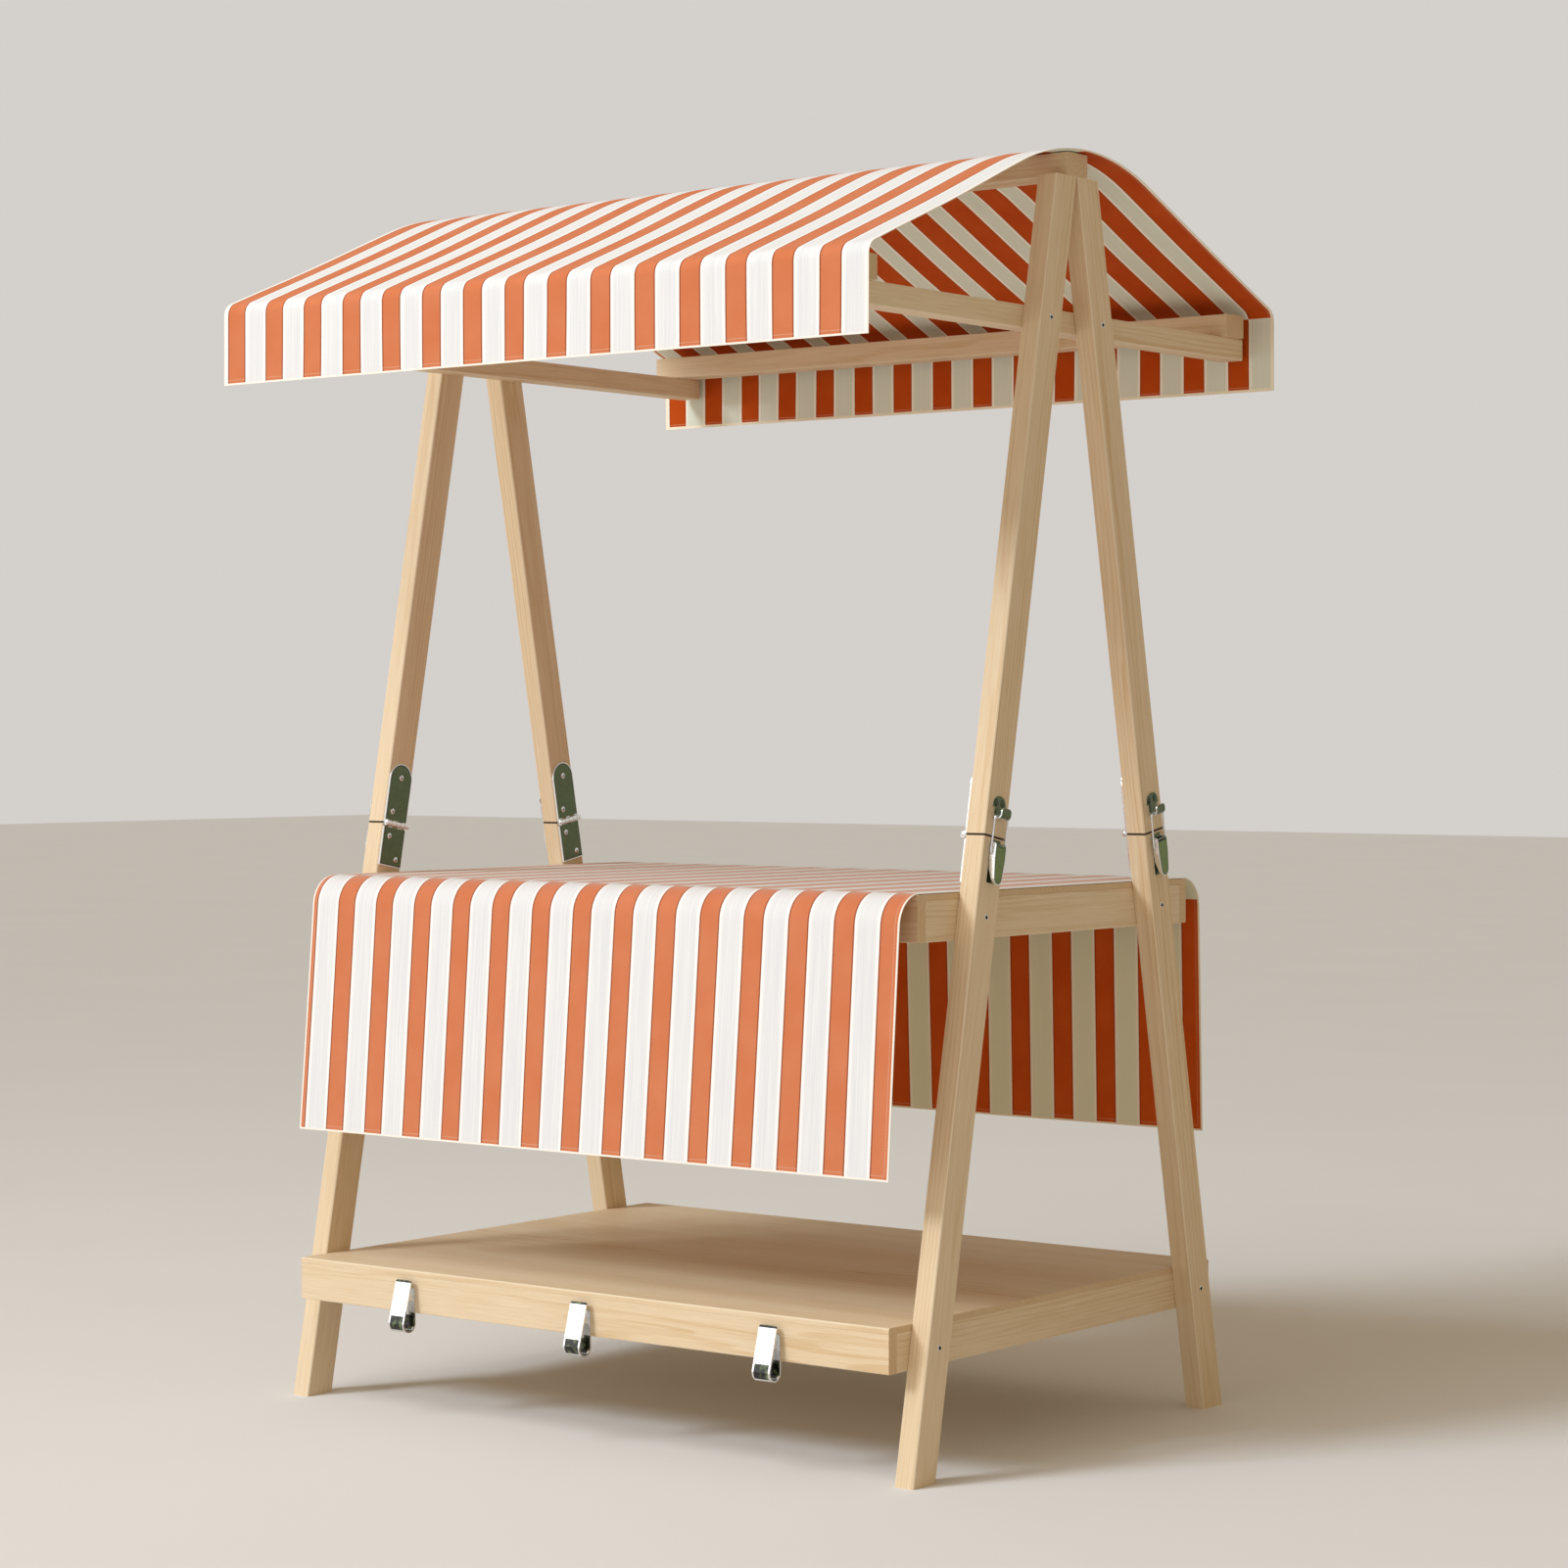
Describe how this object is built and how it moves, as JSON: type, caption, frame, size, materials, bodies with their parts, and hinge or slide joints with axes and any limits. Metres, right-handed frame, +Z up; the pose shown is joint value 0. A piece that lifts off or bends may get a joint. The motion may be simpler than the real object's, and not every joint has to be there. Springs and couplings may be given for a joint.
{
  "type": "market stall",
  "caption": "Wooden market stall with leaning folding legs, a striped gabled canopy, a counter under a striped cloth and a low shelf with hooks.",
  "frame": {"origin": "on the floor under the middle of the stall", "axes": "+X along the ridge to the right-hand leg frame, -Y towards the customer's side with the hooks, +Z up"},
  "size_m": [1.304, 1.13, 1.992],
  "materials": {
    "frame_wood": "satin",
    "board_wood": "satin",
    "canopy_canvas": "matte",
    "counter_canvas": "matte",
    "hook_chrome": "gloss",
    "fittings_steel": "satin"
  },
  "bodies": {
    "frame": {"lower_leg_front_left": "frame_wood", "upper_leg_front_left": "frame_wood", "lower_leg_front_right": "frame_wood", "upper_leg_front_right": "frame_wood", "lower_leg_rear_left": "frame_wood", "upper_leg_rear_left": "frame_wood", "lower_leg_rear_right": "frame_wood", "upper_leg_rear_right": "frame_wood", "ridge_beam": "frame_wood", "cross_rail_left": "frame_wood", "cross_rail_right": "frame_wood", "eave_rail_front": "frame_wood", "eave_rail_rear": "frame_wood", "canopy": "canopy_canvas", "counter_apron_front": "frame_wood", "counter_apron_rear": "frame_wood", "counter_apron_left": "frame_wood", "counter_apron_right": "frame_wood", "counter_top": "board_wood", "table_cloth": "counter_canvas", "shelf_rail_front": "frame_wood", "shelf_rail_rear": "frame_wood", "shelf_rail_left": "frame_wood", "shelf_rail_right": "frame_wood", "shelf_board": "board_wood", "shelf_hook_left": "hook_chrome", "shelf_hook_middle": "hook_chrome", "shelf_hook_right": "hook_chrome", "hinge_upper_leaves": "fittings_steel", "hinge_lower_leaves": "fittings_steel", "latch_bases": "fittings_steel", "latch_catches": "fittings_steel"},
    "lever_front_left": {"latch_lever_front_left": "fittings_steel"},
    "loop_front_left": {"latch_loop_front_left": "fittings_steel"},
    "lever_rear_left": {"latch_lever_rear_left": "fittings_steel"},
    "loop_rear_left": {"latch_loop_rear_left": "fittings_steel"},
    "lever_front_right": {"latch_lever_front_right": "fittings_steel"},
    "loop_front_right": {"latch_loop_front_right": "fittings_steel"},
    "lever_rear_right": {"latch_lever_rear_right": "fittings_steel"},
    "loop_rear_right": {"latch_loop_rear_right": "fittings_steel"}
  },
  "joints": [
    {"name": "lever_front_left_swing", "type": "hinge", "parent": "frame", "child": "lever_front_left", "pos_m": [-0.6424, -0.22551, 0.92898], "axis": [0, 0.9821, -0.1882], "range_deg": [0, 120]},
    {"name": "loop_front_left_swing", "type": "hinge", "parent": "lever_front_left", "child": "loop_front_left", "pos_m": [-0.6413, -0.22777, 0.9172], "axis": [0, 0.9821, -0.1882], "range_deg": [-106, 0]},
    {"name": "lever_rear_left_swing", "type": "hinge", "parent": "frame", "child": "lever_rear_left", "pos_m": [-0.6424, 0.22551, 0.92898], "axis": [0, 0.9821, 0.1882], "range_deg": [0, 120]},
    {"name": "loop_rear_left_swing", "type": "hinge", "parent": "lever_rear_left", "child": "loop_rear_left", "pos_m": [-0.6413, 0.22777, 0.9172], "axis": [0, 0.9821, 0.1882], "range_deg": [-106, 0]},
    {"name": "lever_front_right_swing", "type": "hinge", "parent": "frame", "child": "lever_front_right", "pos_m": [0.6424, -0.22551, 0.92898], "axis": [0, -0.9821, 0.1882], "range_deg": [0, 120]},
    {"name": "loop_front_right_swing", "type": "hinge", "parent": "lever_front_right", "child": "loop_front_right", "pos_m": [0.6413, -0.22777, 0.9172], "axis": [0, -0.9821, 0.1882], "range_deg": [-106, 0]},
    {"name": "lever_rear_right_swing", "type": "hinge", "parent": "frame", "child": "lever_rear_right", "pos_m": [0.6424, 0.22551, 0.92898], "axis": [0, -0.9821, -0.1882], "range_deg": [0, 120]},
    {"name": "loop_rear_right_swing", "type": "hinge", "parent": "lever_rear_right", "child": "loop_rear_right", "pos_m": [0.6413, 0.22777, 0.9172], "axis": [0, -0.9821, -0.1882], "range_deg": [-106, 0]}
  ],
  "couplings": [
    {"joint": "loop_front_left_swing", "follows": "lever_front_left_swing", "ratio": -0.88},
    {"joint": "loop_rear_left_swing", "follows": "lever_rear_left_swing", "ratio": -0.88},
    {"joint": "loop_front_right_swing", "follows": "lever_front_right_swing", "ratio": -0.88},
    {"joint": "loop_rear_right_swing", "follows": "lever_rear_right_swing", "ratio": -0.88}
  ]
}
